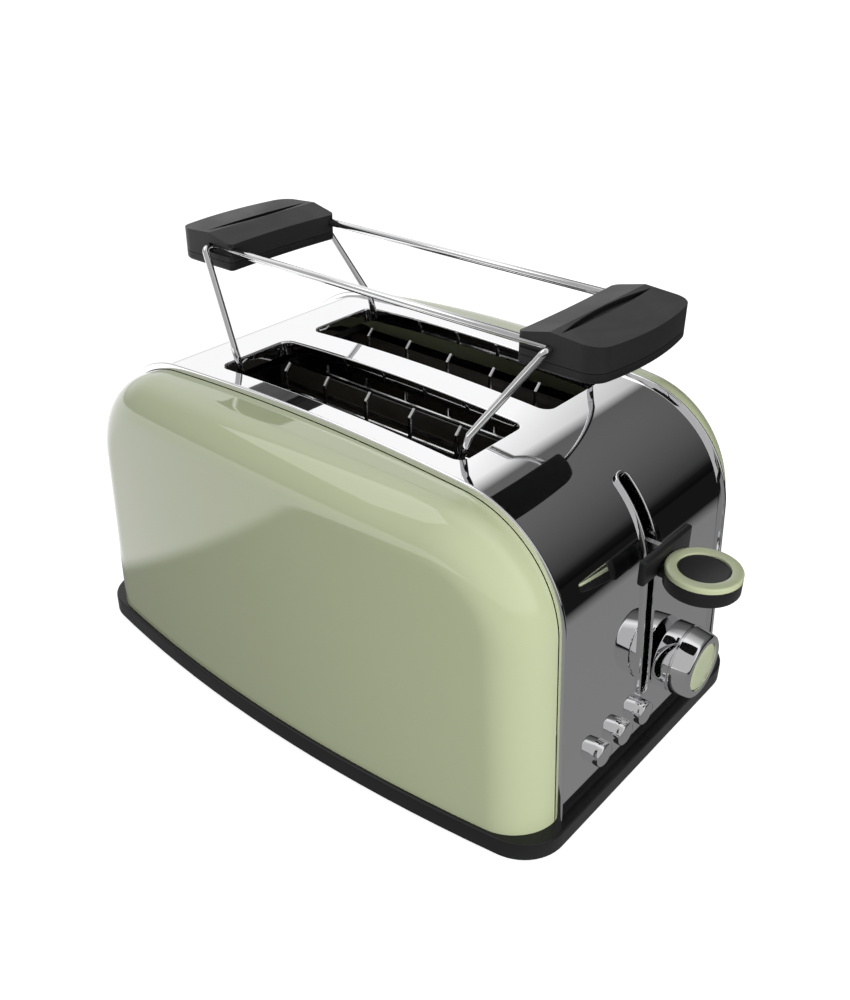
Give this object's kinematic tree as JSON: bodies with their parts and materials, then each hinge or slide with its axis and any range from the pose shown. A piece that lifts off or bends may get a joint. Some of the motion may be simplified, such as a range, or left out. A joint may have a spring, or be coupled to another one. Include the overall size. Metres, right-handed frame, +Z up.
{
  "type": "toaster",
  "caption": "Domed bread toaster with a mirror-polished wrap, pale green side panels, a black plinth and a lift-off warming rack on folding wire legs.",
  "frame": {"origin": "on the table, under the middle of the whole toaster in length and width", "axes": "+X towards the end with the lever, knob and buttons, +Z up; the front side panel faces -Y"},
  "size_m": [0.2952, 0.184, 0.194],
  "materials": {
    "polished_chrome": "mirror polished",
    "green_gloss": "gloss",
    "black_plastic": "satin",
    "rubber_feet": "matte",
    "galvanised_steel": "satin",
    "zinc_steel": "satin",
    "guide_wire": "bright",
    "mica": "matte",
    "heater_ribbon": "dull",
    "circuit_board": "satin"
  },
  "bodies": {
    "housing": {"base_plinth": "black_plastic", "feet": "rubber_feet", "base_screws": "zinc_steel", "chrome_wrap": "polished_chrome", "front_side_panel": "green_gloss", "rear_side_panel": "green_gloss", "left_end_plate": "galvanised_steel", "right_end_plate": "galvanised_steel", "heat_shield_front": "galvanised_steel", "heat_shield_rear": "galvanised_steel", "heater_card_front": "mica", "heater_card_centre": "mica", "heater_card_rear": "mica", "heater_ribbons": "heater_ribbon", "bread_guide_front_outer": "guide_wire", "bread_guide_front_inner": "guide_wire", "bread_guide_rear_inner": "guide_wire", "bread_guide_rear_outer": "guide_wire", "carriage_rod": "zinc_steel", "carriage_spring": "zinc_steel", "electromagnet": "zinc_steel", "control_board": "circuit_board", "cord_gland": "black_plastic"},
    "carriage": {"carriage": "zinc_steel", "bread_rest_front": "zinc_steel", "bread_rest_rear": "zinc_steel", "lever_grip": "black_plastic", "lever_ring": "green_gloss"},
    "browning_dial": {"browning_knob": "polished_chrome", "browning_knob_cap": "green_gloss", "browning_shaft": "zinc_steel"},
    "reheat_key": {"button_reheat": "polished_chrome"},
    "defrost_key": {"button_defrost": "polished_chrome"},
    "cancel_key": {"button_cancel": "polished_chrome"},
    "tray": {"crumb_tray": "black_plastic"},
    "rack": {"rack_handle_left_top": "black_plastic", "rack_handle_left_bottom": "black_plastic", "rack_handle_right_top": "black_plastic", "rack_handle_right_bottom": "black_plastic", "rack_rails": "polished_chrome"},
    "left_legs": {"rack_legs_left": "polished_chrome"},
    "right_legs": {"rack_legs_right": "polished_chrome"}
  },
  "joints": [
    {"name": "carriage_slide", "type": "slide", "parent": "housing", "child": "carriage", "axis": [0, 0, 1], "range_m": [-0.034, 0.018], "stiffness_N_per_m": 120, "springref_m": 0.0055, "deforming": ["carriage_spring"]},
    {"name": "browning_turn", "type": "hinge", "parent": "housing", "child": "browning_dial", "pos_m": [0.1159, 0.0198, 0.0452], "axis": [1, 0, 0], "range_deg": [0, 270]},
    {"name": "reheat_press", "type": "slide", "parent": "housing", "child": "reheat_key", "axis": [1, 0, 0], "range_m": [-0.0015, 0], "stiffness_N_per_m": 600},
    {"name": "defrost_press", "type": "slide", "parent": "housing", "child": "defrost_key", "axis": [1, 0, 0], "range_m": [-0.0015, 0], "stiffness_N_per_m": 600},
    {"name": "cancel_press", "type": "slide", "parent": "housing", "child": "cancel_key", "axis": [1, 0, 0], "range_m": [-0.0015, 0], "stiffness_N_per_m": 600},
    {"name": "tray_slide", "type": "slide", "parent": "housing", "child": "tray", "axis": [-1, 0, 0], "range_m": [0, 0.18]},
    {"name": "rack_lift", "type": "slide", "parent": "housing", "child": "rack", "axis": [0, 0, 1], "range_m": [0, 0.08]},
    {"name": "left_legs_fold", "type": "hinge", "parent": "rack", "child": "left_legs", "pos_m": [-0.0976, 0, 0.1875], "axis": [0, -1, 0], "range_deg": [0, 58]},
    {"name": "right_legs_fold", "type": "hinge", "parent": "rack", "child": "right_legs", "pos_m": [0.079, 0, 0.1875], "axis": [0, 1, 0], "range_deg": [0, 58]}
  ]
}
